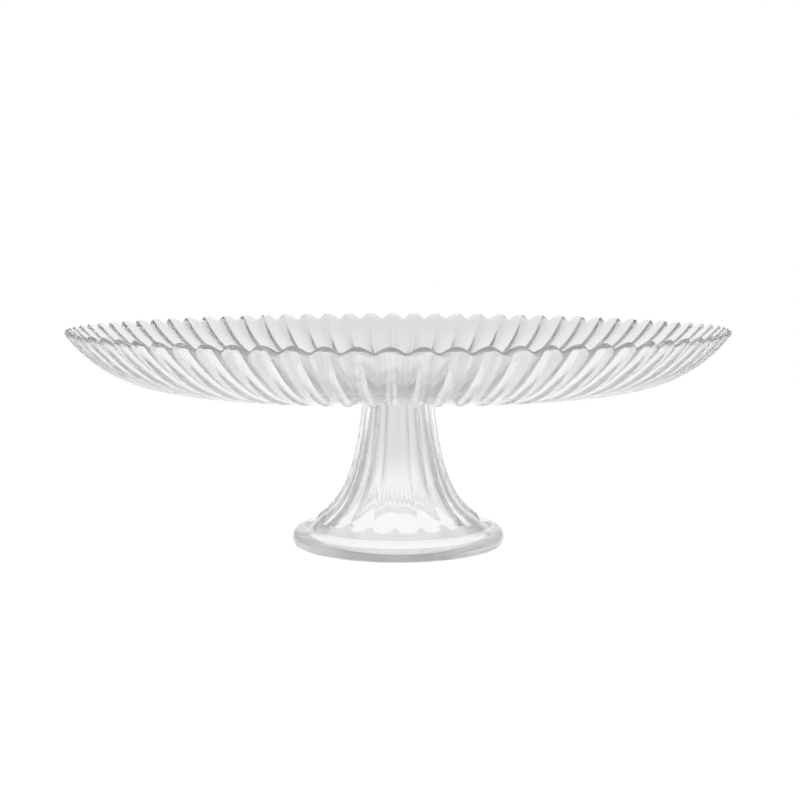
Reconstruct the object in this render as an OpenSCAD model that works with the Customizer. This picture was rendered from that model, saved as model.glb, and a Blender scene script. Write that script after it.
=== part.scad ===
// Cake stand in clear pressed glass: a fluted dish on a hollow fluted pedestal,
// held together by a thin layer of clear adhesive. Millimetres, Z up.
// The origin is on the table, on the axis of the stand.

/* [Dish] */
// Diameter over the tips of the rim lobes
dish_d = 304.8; // [250:0.1:360]
// Height from the underside of the dish to the tips of its lobes
dish_h = 27.2; // [20:0.1:36]
// Distance from the rim in to the flat underside
wall_run = 49.4; // [40:0.1:70]
// Distance from the edge of the flat underside in to the flat floor that carries the cake
floor_inset = 3; // [0:0.1:6]
// Thickness of the floor
floor_t = 4.6; // [3:0.1:8]
// Thickness of the rounded rim at the tip of a lobe
rim_t = 2.8; // [2.4:0.1:4]

/* [Dish flutes] */
// Number of flutes around the underside
dish_flutes = 77; // [48:1:90]
// Depth of a flute in the wall
dish_flute_depth = 1.5; // [0.4:0.1:1.8]
// Distance that the flutes go in under the floor at full depth, from the edge of the flat underside
dish_flute_run = 3; // [0.5:0.5:30]
// Length over which a flute then runs out
dish_runout = 8; // [3:0.5:12]
// Height that the rim drops between two lobes
lobe_drop = 2.8; // [0:0.1:4]
// Turn of the dish's flutes about the axis
dish_turn = -2.2; // [-2.5:0.1:2.5]

/* [Pedestal] */
// Height of the pedestal, without the adhesive
pedestal_h = 74.7; // [55:0.1:110]
// Diameter of the neck, under the dish
neck_d = 32.6; // [26:0.1:60]
// Distance from the edge of the foot in to the foot of the trumpet, where the skirt starts
skirt_run = 13; // [10:0.5:17]
// Height of the meeting of trumpet and skirt
skirt_z = 14; // [12:0.5:20]
// How soon the trumpet flares, as a distance: small is late and sharp
flare = 5.2; // [2:0.1:30]

/* [Pedestal flutes] */
// Number of flutes around the stem
stem_flutes = 20; // [12:1:28]
// Depth of a flute at the widest part of the trumpet
stem_flute_depth = 1.7; // [0.4:0.1:2.4]
// Distance that the rounded ends of the flutes reach down the skirt, from the foot of the trumpet
stem_flute_run = 2.6; // [0.5:0.1:4]
// Length of the rounded end of a flute, measured up the stem
stem_runout = 4.6; // [2:0.1:8]
// Turn of the stem's flutes about the axis
stem_turn = -2; // [-9:0.5:9]

/* [Foot] */
// Largest diameter of the foot
foot_d = 100; // [92:0.5:130]
// Height of the largest diameter, where the two halves of the mould met
foot_z = 3.2; // [2.4:0.1:5]
// Radius of the rolled ring
ring_r = 5.2; // [4:0.1:7]
// Step in from the ring to the lip under the mould line
lip_step = 0.5; // [0.2:0.1:1]
// Radius of the outer edge that touches the table
lip_r = 1.8; // [0.8:0.1:2.2]

/* [Hollow] */
// Width of the flat ring that rests on the table
rest_w = 4.7; // [3:0.1:6]
// Thickness of the glass above the hollow
neck_t = 5.5; // [4:0.1:20]
// Thickness of the wall around the domed end of the hollow
neck_wall = 6.3; // [4:0.1:8]
// Radius of the domed end
dome_r = 3; // [2:0.5:7]
// How soon the hollow flares, as a distance
hollow_flare = 40; // [25:1:70]

/* [Adhesive] */
// Thickness of the clear adhesive between pedestal and dish
bond_t = 0.2; // [0.1:0.05:0.6]
// Margin from the edge of the neck's top face to the edge of the adhesive
bond_margin = 1.2; // [0.5:0.1:4]

/* [Hidden] */

// Colours
glass = [0.86, 0.9, 0.9, 0.45];
glue = [0.95, 0.93, 0.75, 0.8];

// Steps in each flute, and steps along each curve
dish_steps = 4;
stem_steps = 6;
wall_steps = 5;
inner_steps = 4;

// Places that follow from the sizes above
dish_z = pedestal_h + bond_t;
dish_r = dish_d / 2;
under_r = dish_r - wall_run;
floor_r = under_r - floor_inset;
flute_r = under_r - dish_flute_run - dish_runout;
nose_r = rim_t / 2;
neck_r = neck_d / 2;
foot_r = foot_d / 2;
skirt_r = foot_r - skirt_run;
mouth_r = foot_r - lip_step - lip_r - rest_w;
stem_flute_z = skirt_z - stem_flute_run;
dome_x = neck_r - neck_wall;
dome_z = pedestal_h - neck_t - dome_r;

// Height above a circle's lowest point, for a wall that leaves a flat at flat_r and
// touches a rim nose of radius n at [r, z]: side is +1 outside the wall, -1 inside it.
function wall_radius(flat_r, r, z, n, side) = (pow(r - flat_r, 2) + z * z - n * n) / (2 * (z - side * n));

// Radius of the outer wall, through the tips of the lobes
outer_wall_r = wall_radius(under_r, dish_r - nose_r, dish_h - nose_r, nose_r, 1);

// Section of a hollow flute: 1 in its middle, 0 at its sharp edges. f runs from -0.5 to 0.5
function scoop(f, width = 1) = max(0, width * width - 4 * f * f);

// Run of the rim: 0 on the round top of a lobe, 1 in the notch between two lobes
function notch(f) = 1 - sin(180 * abs(f));

// Depth of a dish flute at radius r
function dish_depth(r) = dish_flute_depth * min(1, max(0, (r - flute_r) / dish_runout)) * (0.7 + 0.3 * r / dish_r);

// The rim nose over a flute: its radius, then its centre
function nose_size(f) = nose_r - dish_depth(dish_r) * scoop(f) / 2;
function nose_z(f) = dish_h - lobe_drop * notch(f) - nose_size(f);
function nose_reach(f) = outer_wall_r - dish_depth(dish_r) * scoop(f) - nose_size(f);
function nose_x(f) = under_r + sqrt(pow(nose_reach(f), 2) - pow(outer_wall_r - nose_z(f), 2));

// One upright section of the dish, from its underside round the rim to its floor
function dish_section(f) =
    let (
        n = nose_size(f),
        x = nose_x(f),
        z = nose_z(f),
        turn = atan2(x - under_r, outer_wall_r - z),
        inner_r = wall_radius(floor_r, x, z - floor_t, n, -1),
        inner_turn = atan2(x - floor_r, floor_t + inner_r - z),
        full_r = under_r - dish_flute_run
    )
    concat(
        [[flute_r, 0], [full_r, dish_depth(full_r) * scoop(f)]],
        [for (i = [0:wall_steps - 1])
            let (a = turn * i / wall_steps, r = outer_wall_r - dish_depth(under_r + outer_wall_r * sin(a)) * scoop(f))
            [under_r + r * sin(a), outer_wall_r - r * cos(a)]],
        [for (a = [turn - 90, 0, 45, 90, 90 + inner_turn]) [x + n * cos(a), z + n * sin(a)]],
        [for (i = [inner_steps - 1:-1:0])
            let (a = inner_turn * i / inner_steps)
            [floor_r + inner_r * sin(a), floor_t + inner_r * (1 - cos(a))]]
    );

// Radius of the trumpet at height z, along its sharp flute edges
trumpet_k = (skirt_r - neck_r) / (1 / (skirt_z + flare) - 1 / (pedestal_h + flare));
trumpet_c = neck_r - trumpet_k / (pedestal_h + flare);
function trumpet_r(z) = trumpet_c + trumpet_k / (z + flare);

// The skirt is a cone that meets the rolled ring in a groove
ring_x = foot_r - ring_r;
groove_a = 130;
groove_x = ring_x + ring_r * cos(groove_a);
groove_z = foot_z + ring_r * sin(groove_a);
function skirt_x(z) = groove_x + (skirt_r - groove_x) * (z - groove_z) / (skirt_z - groove_z);
function stem_x(z) = z < skirt_z ? skirt_x(z) : trumpet_r(z);

// Width of a stem flute at height z, as a share of its full width, and its depth there
function stem_width(z) = z > stem_flute_z + stem_runout ? 1 : sqrt(max(0, 1 - pow(1 - (z - stem_flute_z) / stem_runout, 2)));
function stem_depth(f, z) = stem_flute_depth * stem_x(z) / skirt_r * scoop(f, stem_width(z));

// Radius of the hollow at height z
hollow_k = (mouth_r - dome_x) / (1 / hollow_flare - 1 / (dome_z + hollow_flare));
hollow_c = dome_x - hollow_k / (dome_z + hollow_flare);
function hollow_x(z) = hollow_c + hollow_k / (z + hollow_flare);

// Heights of the rings of points up the stem and down the hollow
stem_zs = concat(
    [stem_flute_z, (stem_flute_z + skirt_z) / 2],
    [for (i = [0:8]) skirt_z + (pedestal_h - skirt_z) * pow(i / 8, 1.7)]
);
hollow_zs = [for (i = [6:-1:0]) dome_z * pow(i / 6, 1.4)];

// One upright section of the pedestal, from the end of the hollow down, round the foot and up
function pedestal_section(f) = concat(
    [for (a = [90:-30:30]) [dome_x - dome_r + dome_r * cos(a), dome_z + dome_r * sin(a)]],
    [for (z = hollow_zs) [hollow_x(z), z]],
    [for (a = [-90:45:0]) [foot_r - lip_step - lip_r + lip_r * cos(a), lip_r + lip_r * sin(a)]],
    [[foot_r - lip_step, foot_z - lip_step]],
    [for (i = [0:5]) [ring_x + ring_r * cos(groove_a * i / 5), foot_z + ring_r * sin(groove_a * i / 5)]],
    [for (z = stem_zs) [stem_x(z) - stem_depth(f, z), z]]
);

// Closed solid through upright sections that repeat count times around Z. A section starts and
// ends on a flat face, and goes out below the solid and back above it.
module turned(sections, count) {
    steps = len(sections);
    cols = steps * count;
    rows = len(sections[0]);
    points = [for (c = [0:cols - 1]) for (p = sections[c % steps])
        [p.x * cos(360 * c / cols), p.x * sin(360 * c / cols), p.y]];
    bottom = [for (c = [0:cols - 1]) c * rows];
    top = [for (c = [cols - 1:-1:0]) c * rows + rows - 1];
    band = [for (c = [0:cols - 1]) for (i = [0:rows - 2])
        let (d = (c + 1) % cols)
        each [
            [d * rows + i, c * rows + i, c * rows + i + 1],
            [d * rows + i, c * rows + i + 1, d * rows + i + 1]
        ]];
    polyhedron(points, concat([bottom, top], band));
}

module fluted_dish() {
    color(glass)
    translate([0, 0, dish_z])
    rotate([0, 0, dish_turn])
    turned([for (i = [0:dish_steps - 1]) dish_section(i / dish_steps - 0.5)], dish_flutes);
}

module fluted_pedestal() {
    color(glass)
    rotate([0, 0, stem_turn])
    turned([for (i = [0:stem_steps - 1]) pedestal_section(i / stem_steps - 0.5)], stem_flutes);
}

module adhesive_bond() {
    color(glue)
    translate([0, 0, pedestal_h])
    cylinder(r = neck_r - stem_flute_depth * neck_r / skirt_r - bond_margin, h = bond_t, $fn = 64);
}

fluted_dish();
fluted_pedestal();
adhesive_bond();
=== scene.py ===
import math

import bpy
from mathutils import Matrix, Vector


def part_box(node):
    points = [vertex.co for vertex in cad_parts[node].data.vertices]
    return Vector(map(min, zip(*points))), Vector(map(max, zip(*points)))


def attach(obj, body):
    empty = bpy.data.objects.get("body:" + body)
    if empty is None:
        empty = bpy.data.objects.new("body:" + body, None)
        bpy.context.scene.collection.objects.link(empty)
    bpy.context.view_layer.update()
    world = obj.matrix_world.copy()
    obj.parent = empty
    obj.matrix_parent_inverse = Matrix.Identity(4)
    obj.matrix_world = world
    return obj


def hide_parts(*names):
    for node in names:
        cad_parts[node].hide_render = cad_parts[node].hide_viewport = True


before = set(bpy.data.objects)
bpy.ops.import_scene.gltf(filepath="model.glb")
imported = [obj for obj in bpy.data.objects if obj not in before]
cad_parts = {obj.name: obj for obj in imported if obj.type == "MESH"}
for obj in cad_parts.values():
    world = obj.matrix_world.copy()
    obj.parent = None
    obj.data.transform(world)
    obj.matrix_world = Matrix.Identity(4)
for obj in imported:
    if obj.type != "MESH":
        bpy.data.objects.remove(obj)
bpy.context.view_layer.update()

# A cake stand in pressed glass. Metres, Z up; the CAD nodes give the places, and the sizes
# below are the ones the stand was drawn to.

mm = 0.001
axisNear = 0.001 * mm    # a point nearer to the axis than this lies on it
weld = 0.004 * mm        # points nearer to each other than this are one
scene = bpy.context.scene


def deselectAll():
    bpy.ops.object.select_all(action="DESELECT")


def makeActive(piece):
    deselectAll()
    piece.select_set(True)
    bpy.context.view_layer.objects.active = piece


def nameActive(name):
    piece = bpy.context.object
    piece.name = name
    piece.data.name = name
    return piece


def drawOutline(name, points):
    # one vertex pulled along the outline point by point, as with E in edit mode
    deselectAll()
    bpy.ops.mesh.primitive_plane_add(size=mm, location=(points[0][0], 0, points[0][1]))
    piece = nameActive(name)
    bpy.ops.object.transform_apply(location=True, rotation=True, scale=True)
    bpy.ops.object.mode_set(mode="EDIT")
    bpy.ops.mesh.select_all(action="SELECT")
    bpy.ops.mesh.merge(type="CENTER")
    # out of edit mode and back, so that the new points are numbered in the order they are drawn
    bpy.ops.object.mode_set(mode="OBJECT")
    bpy.ops.object.mode_set(mode="EDIT")
    bpy.ops.mesh.select_all(action="SELECT")
    for (r0, z0), (r1, z1) in zip(points, points[1:]):
        bpy.ops.mesh.extrude_region_move(TRANSFORM_OT_translate={"value": (r1 - r0, 0, z1 - z0)})
    bpy.ops.object.mode_set(mode="OBJECT")
    return piece


def spinWedge(piece, pitch, steps):
    # sweeps the outline through one flute; "along" remembers where on the outline a point lies
    along = piece.data.attributes.new("along", "INT", "POINT")
    along.data.foreach_set("value", list(range(len(piece.data.vertices))))
    bpy.ops.object.mode_set(mode="EDIT")
    bpy.ops.mesh.select_all(action="SELECT")
    bpy.ops.mesh.spin(steps=steps, angle=-pitch, center=(0, 0, 0), axis=(0, 0, 1))
    bpy.ops.object.mode_set(mode="OBJECT")


def pressWedge(piece, pitch, columns, pressed):
    # the plunger: moves each point of the plain wedge on to the pressed flute
    along = [v.value for v in piece.data.attributes["along"].data]
    steps = len(columns) - 1
    for vertex, place in zip(piece.data.vertices, along):
        onAxis = vertex.co.xy.length < axisNear
        column = 0 if onAxis else round(abs(math.atan2(vertex.co.y, vertex.co.x)) / pitch * steps)
        f, r, z = pressed(columns[column], place)
        a = (f + 0.5) * pitch
        vertex.co = (r * math.cos(a), r * math.sin(a), z)
    piece.data.attributes.remove(piece.data.attributes["along"])


def closeRing(piece, pitch, count):
    # one pressed wedge is repeated round the axis and welded into a closed shell
    deselectAll()
    bpy.ops.object.empty_add(location=(0, 0, 0), rotation=(0, 0, pitch))
    turner = bpy.context.object
    makeActive(piece)
    bpy.ops.object.modifier_add(type="ARRAY")
    ring = piece.modifiers[-1]
    ring.count = count
    ring.use_relative_offset = False
    ring.use_object_offset = True
    ring.offset_object = turner
    bpy.ops.object.modifier_apply(modifier=ring.name)
    bpy.data.objects.remove(turner)
    bpy.ops.object.mode_set(mode="EDIT")
    bpy.ops.mesh.select_all(action="SELECT")
    bpy.ops.mesh.remove_doubles(threshold=weld)
    bpy.ops.mesh.normals_make_consistent(inside=False)
    bpy.ops.object.mode_set(mode="OBJECT")
    bpy.ops.object.shade_smooth()


def pressRing(name, count, turn, columns, places, pressed):
    pitch = 2 * math.pi / count
    piece = drawOutline(name, [pressed(columns[0], i)[1:] for i in range(len(places))])
    satin = piece.data.attributes.new("satin", "FLOAT", "POINT")
    satin.data.foreach_set("value", [plungerSkin.get(kind, 0.0) for kind, t in places])
    spinWedge(piece, pitch, len(columns) - 1)
    pressWedge(piece, pitch, columns, pressed)
    closeRing(piece, pitch, count)
    piece.data.transform(Matrix.Rotation(math.radians(turn), 4, "Z"))
    return piece


# roughness of the sides that the plunger pressed: unlike the rest, they aren't fire-polished
plungerSkin = {
    "inner": 0.12, "floor": 0.12,                                # the dish
    "dome": 0.13, "hollow": 0.15, "mouth": 0.15, "rest": 0.2,    # the pedestal, from below
    "lip": 0.1, "step": 0.1,
}


def softMax(a, b, soft):
    # the larger of two values, with the corner between them rounded over
    return max(a, b) + max(0.0, soft - abs(a - b)) ** 2 / (4 * soft)


def scoop(f, soft, width=1.0):
    # section of a hollow flute, f from -0.5 to 0.5: 1 in its middle, 0 on the edge that it
    # shares with the next one
    here = width * width - 4 * f * f
    beside = width * width - 4 * (1 - abs(f)) ** 2
    return softMax(softMax(here, beside, soft), 0.0, soft)


# places across one flute, closer together at its sharp edges
fluteColumns = [-0.5, -0.487, -0.472, -0.45, -0.4, -0.3, -0.18, -0.06,
                0.06, 0.18, 0.3, 0.4, 0.45, 0.472, 0.487, 0.5]

# The dish. Its outside is a bowl wall of one radius with hollow flutes pressed into it; the rim
# rises over each sharp edge between two flutes.
dish = {
    "flutes": 77,
    "turn": -2.2,               # degrees, of the flutes about the axis
    "radius": 152.4 * mm,
    "height": 27.2 * mm,
    "wallRun": 49.4 * mm,       # rim in to the flat underside
    "floorInset": 3 * mm,       # flat underside in to the flat floor
    "floorThick": 4.6 * mm,
    "rimThick": 2.8 * mm,
    "fluteDepth": 1.5 * mm,
    "fluteGrowth": 0.3,         # share of that depth that comes with the radius
    "fluteRun": 3 * mm,         # full depth, in under the floor
    "fluteEnd": 8 * mm,         # and then running out
    "lobeDrop": 2.8 * mm,
    "edgeSoft": 0.3,            # rounding of the edges between flutes
    "notchSoft": 0.03,          # rounding of the notches in the rim
}
dish["under"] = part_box("fluted_dish")[0].z
dish["flat"] = dish["radius"] - dish["wallRun"]
dish["floor"] = dish["flat"] - dish["floorInset"]
dish["fluteIn"] = dish["flat"] - dish["fluteRun"] - dish["fluteEnd"]


def wallRadius(flat, r, z, n, side):
    # radius of a wall that leaves a flat and touches a rim nose of radius n, outside it (1) or
    # inside it (-1)
    return ((r - flat) ** 2 + z * z - n * n) / (2 * (z - side * n))


noseRadius = dish["rimThick"] / 2
outerWall = wallRadius(dish["flat"], dish["radius"] - noseRadius, dish["height"] - noseRadius,
                       noseRadius, 1)


def fluteDepth(r):
    ramp = min(1.0, max(0.0, (r - dish["fluteIn"]) / dish["fluteEnd"]))
    growth = dish["fluteGrowth"]
    return dish["fluteDepth"] * ramp * (1 - growth + growth * r / dish["radius"])


def rimDrop(f):
    # 0 on the round top of a lobe, 1 in the notch between two lobes
    soft = dish["notchSoft"]
    return 1 - math.sin(math.pi / 2 * (math.hypot(f, soft) - soft) / (math.hypot(0.5, soft) - soft))


def rimNose(f):
    cut = dish["fluteDepth"] * scoop(f, dish["edgeSoft"])
    n = noseRadius - cut / 2
    z = dish["height"] - dish["lobeDrop"] * rimDrop(f) - n
    x = dish["flat"] + math.sqrt((outerWall - cut - n) ** 2 - (outerWall - z) ** 2)
    inner = wallRadius(dish["floor"], x, z - dish["floorThick"], n, -1)
    return {
        "n": n, "x": x, "z": z, "inner": inner,
        "turn": math.atan2(x - dish["flat"], outerWall - z),
        "innerTurn": math.atan2(x - dish["floor"], dish["floorThick"] + inner - z),
    }


flatRings = (0, 25 * mm, 60 * mm, 84 * mm)                         # radii of the plain middle
dishSteps = {"flute": 6, "wall": 20, "nose": 12, "inner": 16}      # along each part of the outline

# the outline of the dish, from the middle of its underside round the rim to the middle of its floor
dishPlaces = (
    [("under", r) for r in flatRings]
    + [("under", dish["fluteIn"] + (dish["flat"] - dish["fluteIn"]) * i / dishSteps["flute"])
       for i in range(dishSteps["flute"])]
    + [("wall", i / dishSteps["wall"]) for i in range(dishSteps["wall"])]
    + [("nose", i / dishSteps["nose"]) for i in range(dishSteps["nose"] + 1)]
    + [("inner", i / dishSteps["inner"]) for i in range(dishSteps["inner"] - 1, -1, -1)]
    + [("floor", r) for r in reversed(flatRings)]
)


def pressedDish(f, place):
    kind, t = dishPlaces[place]
    nose = rimNose(f)
    cut = scoop(f, dish["edgeSoft"])
    if kind == "under":
        r, z = t, fluteDepth(t) * cut
    elif kind == "wall":
        a = nose["turn"] * t
        reach = outerWall - fluteDepth(dish["flat"] + outerWall * math.sin(a)) * cut
        r, z = dish["flat"] + reach * math.sin(a), outerWall - reach * math.cos(a)
    elif kind == "nose":
        a = nose["turn"] - math.pi / 2 + (math.pi + nose["innerTurn"] - nose["turn"]) * t
        r, z = nose["x"] + nose["n"] * math.cos(a), nose["z"] + nose["n"] * math.sin(a)
    elif kind == "inner":
        a = nose["innerTurn"] * t
        r = dish["floor"] + nose["inner"] * math.sin(a)
        z = dish["floorThick"] + nose["inner"] * (1 - math.cos(a))
    else:
        r, z = t, dish["floorThick"]
    return f, r, z + dish["under"]


dishPiece = pressRing("pressed_glass_dish", dish["flutes"], dish["turn"], fluteColumns,
                      dishPlaces, pressedDish)
print("dish:", len(dishPiece.data.polygons), "faces")

# The pedestal. A trumpet with hollow flutes on a plain skirt and a rolled foot ring, hollow from
# below.
pedestal = {
    "flutes": 20,
    "turn": -2,                 # degrees
    "height": 74.7 * mm,
    "neck": 16.3 * mm,          # radius
    "skirtRun": 13 * mm,        # edge of the foot in to the foot of the trumpet
    "skirtTop": 14 * mm,
    "skirtSoft": 3 * mm,        # height over which skirt and trumpet blend
    "flare": 5.2 * mm,
    "fluteDepth": 1.7 * mm,     # at the widest part of the trumpet
    "fluteRun": 2.6 * mm,       # rounded flute ends, down the skirt
    "fluteEnd": 4.6 * mm,
    "fluteTip": 0.2,            # the columns draw in to no less than this share of their width
    "edgeSoft": 0.25,
    "foot": 50 * mm,            # radius
    "mouldLine": 3.2 * mm,      # height of the largest diameter, where the mould parted
    "ring": 5.2 * mm,           # radius of the rolled ring
    "groove": 130,              # degrees round the ring to the groove
    "grooveSoft": 112,          # and to where the rounding of the groove starts
    "grooveRise": 1 * mm,       # the rounding ends this far above the groove
    "lipStep": 0.5 * mm,
    "lip": 1.8 * mm,
    "rest": 4.7 * mm,           # flat width on the table
    "neckThick": 5.5 * mm,
    "neckWall": 6.3 * mm,
    "dome": 3 * mm,
    "hollowFlare": 40 * mm,
    "fine": 0.4 * mm,           # rounding of the small edges
}
skirtFoot = pedestal["foot"] - pedestal["skirtRun"]
fluteLow = pedestal["skirtTop"] - pedestal["fluteRun"]
ringX = pedestal["foot"] - pedestal["ring"]
grooveTurn = math.radians(pedestal["groove"])
grooveFrom = math.radians(pedestal["grooveSoft"])
grooveX = ringX + pedestal["ring"] * math.cos(grooveTurn)
grooveZ = pedestal["mouldLine"] + pedestal["ring"] * math.sin(grooveTurn)
grooveTop = grooveZ + pedestal["grooveRise"]
mouth = pedestal["foot"] - pedestal["lipStep"] - pedestal["lip"] - pedestal["rest"]
domeX = pedestal["neck"] - pedestal["neckWall"]
domeZ = pedestal["height"] - pedestal["neckThick"] - pedestal["dome"]


def flaring(z, z0, r0, z1, r1, flare):
    # a trumpet curve through two points, steep at z1 and flaring out towards z0
    k = (r0 - r1) / (1 / (z0 + flare) - 1 / (z1 + flare))
    return r1 + k * (1 / (z + flare) - 1 / (z1 + flare))


def stemRadius(z):
    cone = grooveX + (skirtFoot - grooveX) * (z - grooveZ) / (pedestal["skirtTop"] - grooveZ)
    trumpet = flaring(z, pedestal["skirtTop"], skirtFoot, pedestal["height"], pedestal["neck"],
                      pedestal["flare"])
    mix = min(1.0, max(0.0, (z - pedestal["skirtTop"]) / pedestal["skirtSoft"] + 0.5))
    return cone + (trumpet - cone) * mix * mix * (3 - 2 * mix)


def fluteWidth(z):
    # a flute's full width, drawn in to a round end at its foot
    t = min(1.0, max(0.0, (z - fluteLow) / pedestal["fluteEnd"]))
    return math.sqrt(1 - (1 - t) ** 2)


def bentCorner(a, corner, b, t):
    # a corner rounded between a and b
    return tuple(p * (1 - t) ** 2 + q * 2 * t * (1 - t) + s * t * t
                 for p, q, s in zip(a, corner, b))


def stemPoint(f, z):
    depth = pedestal["fluteDepth"] * stemRadius(z) / skirtFoot
    width = fluteWidth(z)
    soft = pedestal["edgeSoft"] * max(width, pedestal["fluteTip"]) ** 2
    cut = scoop(f, soft, width) if width > 0 else 0.0
    return stemRadius(z) - depth * cut


fine = pedestal["fine"]
neckTop = pedestal["height"]
fluteHigh = fluteLow + pedestal["fluteEnd"]      # above the flutes' round ends
skirtRings = (grooveZ + 1.4 * mm, grooveZ + 2.6 * mm, fluteLow - 0.5 * mm)
fluteEndRings = (0.002, 0.02, 0.06, 0.12, 0.2, 0.3, 0.42, 0.56, 0.7, 0.85)

# the outline of the pedestal, from the top of its hollow down, round the foot and up to the neck
pedestalPlaces = (
    [("dome", 0)]
    + [("dome", math.radians(90 - i * 11.25)) for i in range(8)]
    + [("hollow", domeZ * (i / 24) ** 1.4) for i in range(24, 1, -1)]
    + [("mouth", t) for t in (0, 0.33, 0.67, 1)]
    + [("rest", i / 3) for i in (1, 2)]
    + [("lip", math.radians(a)) for a in range(-90, 1, 15)]
    + [("step", t) for t in (0, 0.25, 0.5, 0.75)]
    + [("ring", math.radians(a)) for a in range(4, 111, 9)]
    + [("groove", t) for t in (0, 0.2, 0.4, 0.6, 0.8, 1)]
    + [("stem", z) for z in skirtRings]
    + [("stem", fluteLow + pedestal["fluteEnd"] * t) for t in fluteEndRings]
    + [("stem", fluteHigh + (neckTop - fine - fluteHigh) * (i / 30) ** 1.4) for i in range(31)]
    + [("neck", t) for t in (0.33, 0.67, 1)]
    + [("top", t) for t in (0.8, 0.5, 0)]
)


def pressedPedestal(column, place):
    kind, t = pedestalPlaces[place]
    f = column
    if kind == "dome":
        if t == 0:
            r, z = 0, domeZ + pedestal["dome"]
        else:
            r = domeX - pedestal["dome"] + pedestal["dome"] * math.cos(t)
            z = domeZ + pedestal["dome"] * math.sin(t)
    elif kind == "hollow":
        r, z = flaring(t, 0, mouth, domeZ, domeX, pedestal["hollowFlare"]), t
    elif kind == "mouth":
        high = (flaring(2 * fine, 0, mouth, domeZ, domeX, pedestal["hollowFlare"]), 2 * fine)
        r, z = bentCorner(high, (mouth, 0), (mouth + 2 * fine, 0), t)
    elif kind == "rest":
        r, z = mouth + 2 * fine + (pedestal["rest"] - 2 * fine) * t, 0
    elif kind == "lip":
        r = pedestal["foot"] - pedestal["lipStep"] - pedestal["lip"] * (1 - math.cos(t))
        z = pedestal["lip"] * (1 + math.sin(t))
    elif kind == "step":
        low = (pedestal["foot"] - pedestal["lipStep"], pedestal["mouldLine"] - pedestal["lipStep"])
        high = (pedestal["foot"], pedestal["mouldLine"] - 0.1 * mm)
        r = low[0] + (high[0] - low[0]) * t * t * (3 - 2 * t)
        z = low[1] + (high[1] - low[1]) * t
    elif kind == "ring":
        r = ringX + pedestal["ring"] * math.cos(t)
        z = pedestal["mouldLine"] + pedestal["ring"] * math.sin(t)
    elif kind == "groove":
        low = (ringX + pedestal["ring"] * math.cos(grooveFrom),
               pedestal["mouldLine"] + pedestal["ring"] * math.sin(grooveFrom))
        r, z = bentCorner(low, (grooveX, grooveZ), (stemRadius(grooveTop), grooveTop), t)
    elif kind == "stem":
        # the columns draw in with the flute's round end, so its edge lies along a column
        tip = pedestal["fluteTip"]
        if t > fluteLow:
            narrow = max(tip, fluteWidth(t))
        else:
            narrow = 1 - (1 - tip) * max(0.0, (t - grooveTop) / (fluteLow - grooveTop))
        edge = fluteColumns[-3]
        side = abs(column)
        if side <= edge:
            f = side * narrow
        else:
            f = edge * narrow + (side - edge) / (0.5 - edge) * (0.5 - edge * narrow)
        f = math.copysign(f, column)
        r, z = stemPoint(f, t), t
    elif kind == "neck":
        a = t * math.pi / 2
        r = stemPoint(f, neckTop - fine) - fine * (1 - math.cos(a))
        z = neckTop - fine * (1 - math.sin(a))
    else:
        r, z = (stemPoint(f, neckTop - fine) - fine) * t, neckTop
    return f, r, z


pedestalPiece = pressRing("pressed_glass_pedestal", pedestal["flutes"], pedestal["turn"],
                          fluteColumns, pedestalPlaces, pressedPedestal)
print("pedestal:", len(pedestalPiece.data.polygons), "faces")

# The film of cured adhesive between neck and dish. It bites a hundredth of a millimetre into both
# glasses, so that light goes through the joint as it does through one that is wetted all over.
bond = {
    "radius": 14.1 * mm,
    "bite": 0.01 * mm,
    "creep": 0.25 * mm,         # how unevenly the drop spread before it cured
    "creepWaves": ((0.5, 3, 0.8), (0.3, 7, 0), (0.2, 11, 2)),    # share, number of lobes, phase
    "edge": 0.05 * mm,
    "weld": 0.002 * mm,
    "points": 96,
    "sharp": 35,                # degrees, edges that stay sharp in the shading
}
bondLow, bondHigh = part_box("adhesive_bond")


def makeBond():
    deselectAll()
    depth = bondHigh.z - bondLow.z + 2 * bond["bite"]
    bpy.ops.mesh.primitive_cylinder_add(
        vertices=bond["points"], radius=bond["radius"] - bond["creep"], depth=depth,
        location=(0, 0, (bondLow.z + bondHigh.z) / 2))
    piece = nameActive("adhesive_film")
    bpy.ops.object.transform_apply(location=True, rotation=True, scale=True)
    for vertex in piece.data.vertices:
        a = math.atan2(vertex.co.y, vertex.co.x)
        waves = sum(share * math.sin(lobes * a + phase)
                    for share, lobes, phase in bond["creepWaves"])
        vertex.co.xy *= 1 + bond["creep"] * waves / bond["radius"]
    bpy.ops.object.mode_set(mode="EDIT")
    bpy.ops.mesh.select_all(action="SELECT")
    bpy.ops.mesh.bevel(offset=bond["edge"], segments=3, affect="EDGES")
    bpy.ops.mesh.remove_doubles(threshold=bond["weld"])
    bpy.ops.mesh.normals_make_consistent(inside=False)
    bpy.ops.object.mode_set(mode="OBJECT")
    bpy.ops.object.shade_smooth_by_angle(angle=math.radians(bond["sharp"]))
    return piece


bondPiece = makeBond()
print("adhesive film:", len(bondPiece.data.polygons), "faces")


def srgb(code):
    # sRGB hex to the linear colour that sockets take
    parts = [int(code[i:i + 2], 16) / 255 for i in (1, 3, 5)]
    return (*[p / 12.92 if p <= 0.04045 else ((p + 0.055) / 1.055) ** 2.4 for p in parts], 1)


def newMaterial(name):
    material = bpy.data.materials.new(name)
    material.use_nodes = True
    return material, material.node_tree


def addNode(tree, kind, settings=None, inputs=None, links=None):
    # one node with its settings, its fixed inputs and its links, each input given by name or place
    node = tree.nodes.new(kind)
    for key, value in (settings or {}).items():
        setattr(node, key, value)
    for key, value in (inputs or {}).items():
        node.inputs[key].default_value = value
    for key, socket in (links or {}).items():
        tree.links.new(socket, node.inputs[key])
    return node


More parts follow.
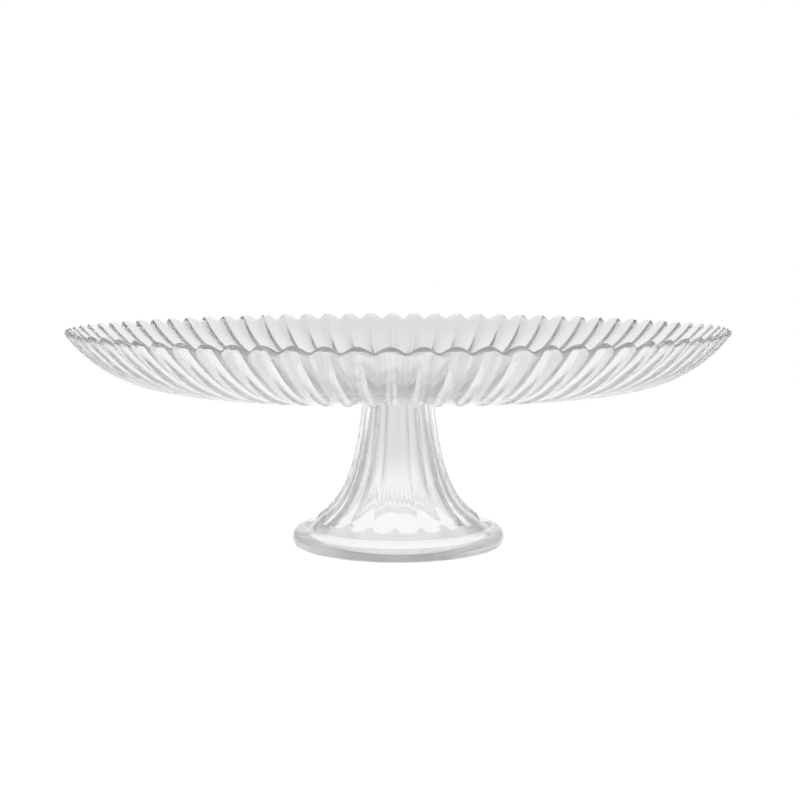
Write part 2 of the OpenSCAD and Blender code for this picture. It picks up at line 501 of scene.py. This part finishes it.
glass = {
    "colour": "#FEFEFE",
    "ior": 1.52,
    "wave": 11 * mm,            # spacing of the slow waviness left by the mould
    "waveHeight": 0.012 * mm,
    "clearDish": 0.9,           # transmission weight; what it leaves out is the veil
    "clearPedestal": 0.94,
}
adhesive = {
    "colour": "#FBF9F0",
    "roughness": 0.02,
    "ior": 1.5,
    "flow": 4 * mm,             # spacing of the marks that the drop left as it spread
    "flowHeight": 0.002 * mm,
}


def makeGlass(name, clear):
    # soda-lime glass, pressed and fire-polished: colourless, with a faint milky veil of the
    # strength given, and a skin that is not quite flat, so that what is seen through it swims a
    # little
    material, tree = newMaterial(name)
    shader = tree.nodes["Principled BSDF"]
    shader.inputs["Base Color"].default_value = srgb(glass["colour"])
    shader.inputs["IOR"].default_value = glass["ior"]
    shader.inputs["Transmission Weight"].default_value = clear
    place = addNode(tree, "ShaderNodeTexCoord").outputs["Object"]
    wave = addNode(tree, "ShaderNodeTexNoise", inputs={"Scale": 1 / glass["wave"], "Detail": 1.0},
                   links={"Vector": place})
    waveBump = addNode(tree, "ShaderNodeBump", inputs={"Distance": glass["waveHeight"]},
                       links={"Height": wave.outputs["Fac"]})
    tree.links.new(waveBump.outputs["Normal"], shader.inputs["Normal"])
    satin = addNode(tree, "ShaderNodeAttribute", {"attribute_name": "satin"})
    tree.links.new(satin.outputs["Fac"], shader.inputs["Roughness"])
    return material


def makeAdhesive():
    # UV-cured acrylic: as clear as the glass, a shade warmer
    material, tree = newMaterial("cured_acrylic_adhesive")
    shader = tree.nodes["Principled BSDF"]
    shader.inputs["Base Color"].default_value = srgb(adhesive["colour"])
    shader.inputs["Roughness"].default_value = adhesive["roughness"]
    shader.inputs["IOR"].default_value = adhesive["ior"]
    shader.inputs["Transmission Weight"].default_value = 1.0
    place = addNode(tree, "ShaderNodeTexCoord").outputs["Object"]
    flow = addNode(tree, "ShaderNodeTexNoise",
                   inputs={"Scale": 1 / adhesive["flow"], "Detail": 1.0}, links={"Vector": place})
    bump = addNode(tree, "ShaderNodeBump", inputs={"Distance": adhesive["flowHeight"]},
                   links={"Height": flow.outputs["Fac"]})
    tree.links.new(bump.outputs["Normal"], shader.inputs["Normal"])
    return material


dishPiece.data.materials.append(
    makeGlass("pressed_soda_lime_glass_dish", glass["clearDish"]))
pedestalPiece.data.materials.append(
    makeGlass("pressed_soda_lime_glass_pedestal", glass["clearPedestal"]))
bondPiece.data.materials.append(makeAdhesive())
print("materials: glass, adhesive")

for piece, node, slot in (
    (dishPiece, "fluted_dish", "clear_glass_dish"),
    (pedestalPiece, "fluted_pedestal", "clear_glass_pedestal"),
    (bondPiece, "adhesive_bond", "clear_adhesive"),
):
    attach(piece, "root")
    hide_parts(node)
print("frame: 3 pieces on root")

# The studio. The camera sees a plain white floor and backdrop; the glass sees them at the levels
# given here.
studio = {
    "floorSize": 40.0,
    # painted light: the floor glows as an emitter, a painted pool of light brighter near the stand
    # and dimmer further out
    "floorNear": 1.06,          # level of the floor out to nearTo
    "floorFar": 0.775,          # and from farFrom on
    "nearTo": 0.25,
    "farFrom": 0.9,
    "wall": 0.8,
    "ceiling": 0.55,
    "wallTo": 0.25,             # sine of the angle above level at which the wall ends
    "ceilingFrom": 0.6,         # and at which the ceiling has its full level
    "screen": 0.42,             # what a screen leaves of the light behind it
    "screenFrom": 0.3,          # |sin(azimuth) cos(azimuth)|: 0 on the main directions and
    "screenTo": 0.45,           # 0.5 half way between them
    "camera": (0.00084, -0.6965, 0.1365),
    "cameraPitch": 5.65,        # degrees below level
    "lens": 67.08,
    "sensor": 36,
    "gamma": 1.2,
}


def makeFloor():
    deselectAll()
    bpy.ops.mesh.primitive_plane_add(size=studio["floorSize"], location=(0, 0, -0.1 * mm))
    floor = nameActive("studio_floor")
    material, tree = newMaterial("glowing_white_floor")
    tree.nodes.remove(tree.nodes["Principled BSDF"])
    # painted light: the floor is an emitter, not a lit surface; it glows brightest near the stand,
    # as a painted pool of light, and dims further out, and the camera sees it plain white
    place = addNode(tree, "ShaderNodeTexCoord").outputs["Object"]
    away = addNode(tree, "ShaderNodeVectorMath", {"operation": "LENGTH"}, links={0: place})
    lit = addNode(tree, "ShaderNodeMapRange", {"interpolation_type": "SMOOTHSTEP"},
                  {"From Min": studio["nearTo"], "From Max": studio["farFrom"],
                   "To Min": studio["floorNear"], "To Max": studio["floorFar"]},
                  {"Value": away.outputs["Value"]})
    seen = addNode(tree, "ShaderNodeLightPath").outputs["Is Camera Ray"]
    shown = addNode(tree, "ShaderNodeMath", {"operation": "MAXIMUM"},
                    links={0: lit.outputs[0], 1: seen})
    glow = addNode(tree, "ShaderNodeEmission", inputs={"Color": (1, 1, 1, 1)},
                   links={"Strength": shown.outputs[0]})
    tree.links.new(glow.outputs[0], tree.nodes["Material Output"].inputs["Surface"])
    floor.data.materials.append(material)


def makeWorld():
    # walls all round and a dimmer ceiling, which give the glass its grey edges
    world = bpy.data.worlds.new("white_studio")
    scene.world = world
    world.use_nodes = True
    tree = world.node_tree
    way = addNode(tree, "ShaderNodeTexCoord").outputs["Generated"]
    split = addNode(tree, "ShaderNodeSeparateXYZ", links={"Vector": way})
    ceiling = addNode(tree, "ShaderNodeMapRange", {"interpolation_type": "SMOOTHSTEP"},
                      {"From Min": studio["wallTo"], "From Max": studio["ceilingFrom"],
                       "To Min": studio["wall"], "To Max": studio["ceiling"]},
                      {"Value": split.outputs["Z"]})
    # darker screens between the four main directions: x y / (z z - 1) is sin(azimuth)
    # cos(azimuth), with the sign turned
    across = addNode(tree, "ShaderNodeMath", {"operation": "MULTIPLY"},
                     links={0: split.outputs["X"], 1: split.outputs["Y"]})
    level = addNode(tree, "ShaderNodeMath", {"operation": "MULTIPLY_ADD"}, {2: -1.0},
                    {0: split.outputs["Z"], 1: split.outputs["Z"]})
    between = addNode(tree, "ShaderNodeMath", {"operation": "DIVIDE"},
                      links={0: across.outputs[0], 1: level.outputs[0]})
    screen = addNode(tree, "ShaderNodeMath", {"operation": "ABSOLUTE"},
                     links={0: between.outputs[0]})
    screens = addNode(tree, "ShaderNodeMapRange", {"interpolation_type": "SMOOTHSTEP"},
                      {"From Min": studio["screenFrom"], "From Max": studio["screenTo"],
                       "To Min": 1.0, "To Max": studio["screen"]},
                      {"Value": screen.outputs[0]})
    glow = addNode(tree, "ShaderNodeMath", {"operation": "MULTIPLY"},
                   links={0: ceiling.outputs[0], 1: screens.outputs[0]})
    # the backdrop that the camera sees is plain white
    seen = addNode(tree, "ShaderNodeLightPath").outputs["Is Camera Ray"]
    shown = addNode(tree, "ShaderNodeMath", {"operation": "MAXIMUM"},
                    links={0: glow.outputs[0], 1: seen})
    tree.links.new(shown.outputs[0], tree.nodes["Background"].inputs["Color"])
    tree.nodes["Background"].inputs["Strength"].default_value = 1.0


def makeCamera():
    deselectAll()
    bpy.ops.object.camera_add(location=studio["camera"],
                              rotation=(math.radians(90 - studio["cameraPitch"]), 0, 0))
    camera = bpy.context.object
    camera.name = "camera"
    camera.data.lens = studio["lens"]
    camera.data.sensor_width = studio["sensor"]
    camera.data.clip_start = 0.01
    camera.data.clip_end = 100
    scene.camera = camera


makeFloor()
makeWorld()
makeCamera()
scene.view_settings.view_transform = "Standard"
scene.view_settings.gamma = studio["gamma"]
scene.cycles.max_bounces = 32
scene.cycles.transmission_bounces = 28
scene.cycles.glossy_bounces = 12
scene.cycles.diffuse_bounces = 24
scene.cycles.use_denoising = True
print("studio: floor, world, camera")
